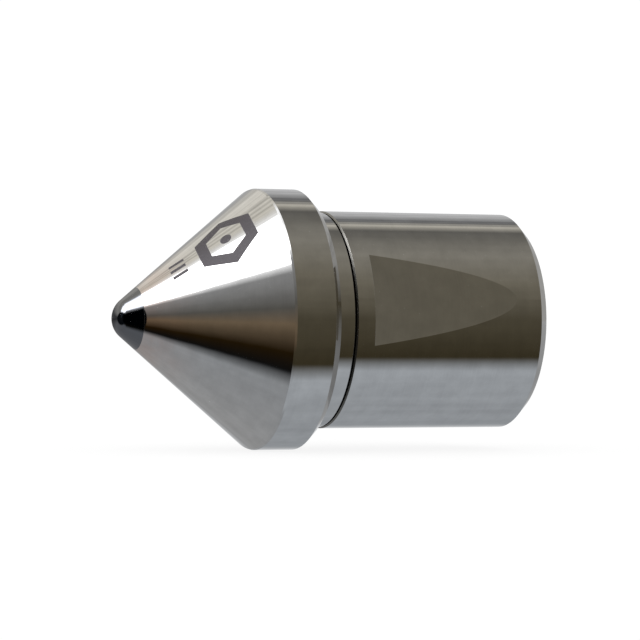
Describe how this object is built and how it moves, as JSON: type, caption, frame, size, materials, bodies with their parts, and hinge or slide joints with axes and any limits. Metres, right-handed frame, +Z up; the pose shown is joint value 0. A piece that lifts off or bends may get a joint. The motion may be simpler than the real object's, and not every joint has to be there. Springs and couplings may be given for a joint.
{
  "type": "live center",
  "caption": "Lathe live center: a turning point with a wide cone and collar on a short straight shank with a sloping clamping flat.",
  "frame": {"origin": "on the turning axis, where the straight wall of the stationary shank begins, 0.2 mm behind its front face", "axes": "+X along the turning axis from the point toward the shank's rear, so the point looks toward -X; +Z up; the clamping flat faces -Y, turned a little toward +Z"},
  "size_m": [0.0618, 0.0382, 0.0382],
  "materials": {
    "shank_steel": "fine cylindrical grinding marks, semi-bright",
    "seal_case_steel": "pressed and phosphated sheet steel",
    "seal_rubber": "matt black nitrile",
    "spring_wire": "coiled bright wire",
    "front_outer_race_steel": "ground bearing steel",
    "spacer_sleeve_steel": "turned steel",
    "thrust_housing_washer_steel": "ground bearing steel",
    "disc_spring_steel": "phosphated spring steel",
    "needle_cup_steel": "drawn bearing steel",
    "end_plug_steel": "turned steel, oiled",
    "o_ring_rubber": "matt black nitrile",
    "carbide": "ground and lapped tungsten carbide, dark and glossy",
    "head_steel": "fine turned and ground rings, bright",
    "front_inner_race_steel": "ground bearing steel",
    "shim_brass": "rolled shim stock",
    "thrust_shaft_washer_steel": "ground bearing steel",
    "inner_spacer_steel": "turned steel",
    "tab_washer_steel": "pressed sheet steel",
    "lock_nut_steel": "black oxide",
    "front_ball_steel": "polished ball steel",
    "front_cage_brass": "machined brass",
    "thrust_ball_steel": "polished ball steel",
    "thrust_cage_brass": "machined brass",
    "needle_steel": "polished roller steel",
    "needle_cage_brass": "machined brass"
  },
  "bodies": {
    "housing": {"shank_body": "shank_steel", "seal_case": "seal_case_steel", "shaft_seal": "seal_rubber", "garter_spring": "spring_wire", "front_outer_race": "front_outer_race_steel", "spacer_sleeve": "spacer_sleeve_steel", "thrust_housing_washer": "thrust_housing_washer_steel", "disc_spring": "disc_spring_steel", "needle_cup": "needle_cup_steel", "end_plug": "end_plug_steel", "plug_o_ring": "o_ring_rubber"},
    "spindle": {"point_head": "head_steel", "carbide_tip": "carbide", "front_inner_race": "front_inner_race_steel", "preload_shim": "shim_brass", "thrust_shaft_washer": "thrust_shaft_washer_steel", "inner_spacer": "inner_spacer_steel", "tab_washer": "tab_washer_steel", "lock_nut": "lock_nut_steel"},
    "front_ball_set": {"front_cage": "front_cage_brass", "front_balls": "front_ball_steel"},
    "thrust_ball_set": {"thrust_cage": "thrust_cage_brass", "thrust_balls": "thrust_ball_steel"},
    "needle_set": {"needle_cage": "needle_cage_brass", "needle_rollers": "needle_steel"}
  },
  "joints": [
    {"name": "spindle_spin", "type": "hinge", "parent": "housing", "child": "spindle", "pos_m": [0, 0, 0], "axis": [1, 0, 0], "continuous": true},
    {"name": "front_cage_orbit", "type": "hinge", "parent": "housing", "child": "front_ball_set", "pos_m": [0.0065, 0, 0], "axis": [1, 0, 0], "continuous": true},
    {"name": "thrust_cage_orbit", "type": "hinge", "parent": "housing", "child": "thrust_ball_set", "pos_m": [0.0153, 0, 0], "axis": [1, 0, 0], "continuous": true},
    {"name": "needle_cage_orbit", "type": "hinge", "parent": "housing", "child": "needle_set", "pos_m": [0.026, 0, 0], "axis": [1, 0, 0], "continuous": true}
  ],
  "couplings": [
    {"joint": "front_cage_orbit", "follows": "spindle_spin", "ratio": 0.3801},
    {"joint": "thrust_cage_orbit", "follows": "spindle_spin", "ratio": 0.5},
    {"joint": "needle_cage_orbit", "follows": "spindle_spin", "ratio": 0.4019}
  ]
}
